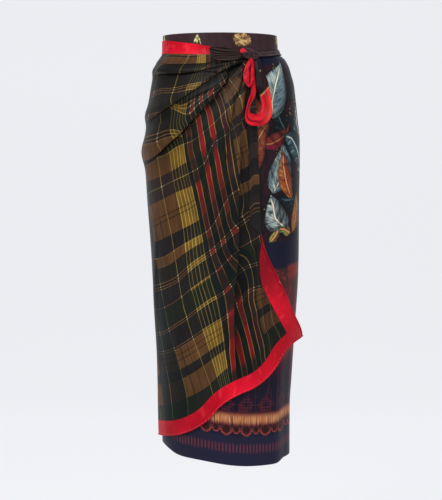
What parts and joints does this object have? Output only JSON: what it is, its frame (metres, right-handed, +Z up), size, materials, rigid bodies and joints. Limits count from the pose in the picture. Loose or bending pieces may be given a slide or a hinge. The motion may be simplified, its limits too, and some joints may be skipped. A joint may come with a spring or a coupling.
{
  "type": "wrap skirt",
  "caption": "Long printed wrap skirt on a waistband, with a plaid scarf panel drawn across the front to a side knot with a hanging bow loop.",
  "frame": {"origin": "centre of the waistband's ring at its mid-height", "axes": "+Z up along the worn skirt, the front faces -Y, +X is the wearer's left (the image's right)"},
  "size_m": [0.3477, 0.2667, 0.9061],
  "materials": {
    "band_silk": "silk twill, dark aubergine with printed gold motifs",
    "skirt_silk": "silk twill, navy with printed leaf and ikat designs",
    "plaid_silk": "silk twill, dark green plaid with a red border",
    "tie_silk": "silk twill, dark brown",
    "knot_silk": "silk twill, dark purple with red",
    "bow_silk": "silk twill, red border print"
  },
  "bodies": {
    "root": {"waistband": "band_silk", "skirt_body": "skirt_silk", "wrap_panel": "plaid_silk", "tie_gather": "tie_silk", "tie_band": "tie_silk", "knot": "knot_silk", "bow_loop": "bow_silk", "bow_tail": "bow_silk"}
  },
  "joints": []
}
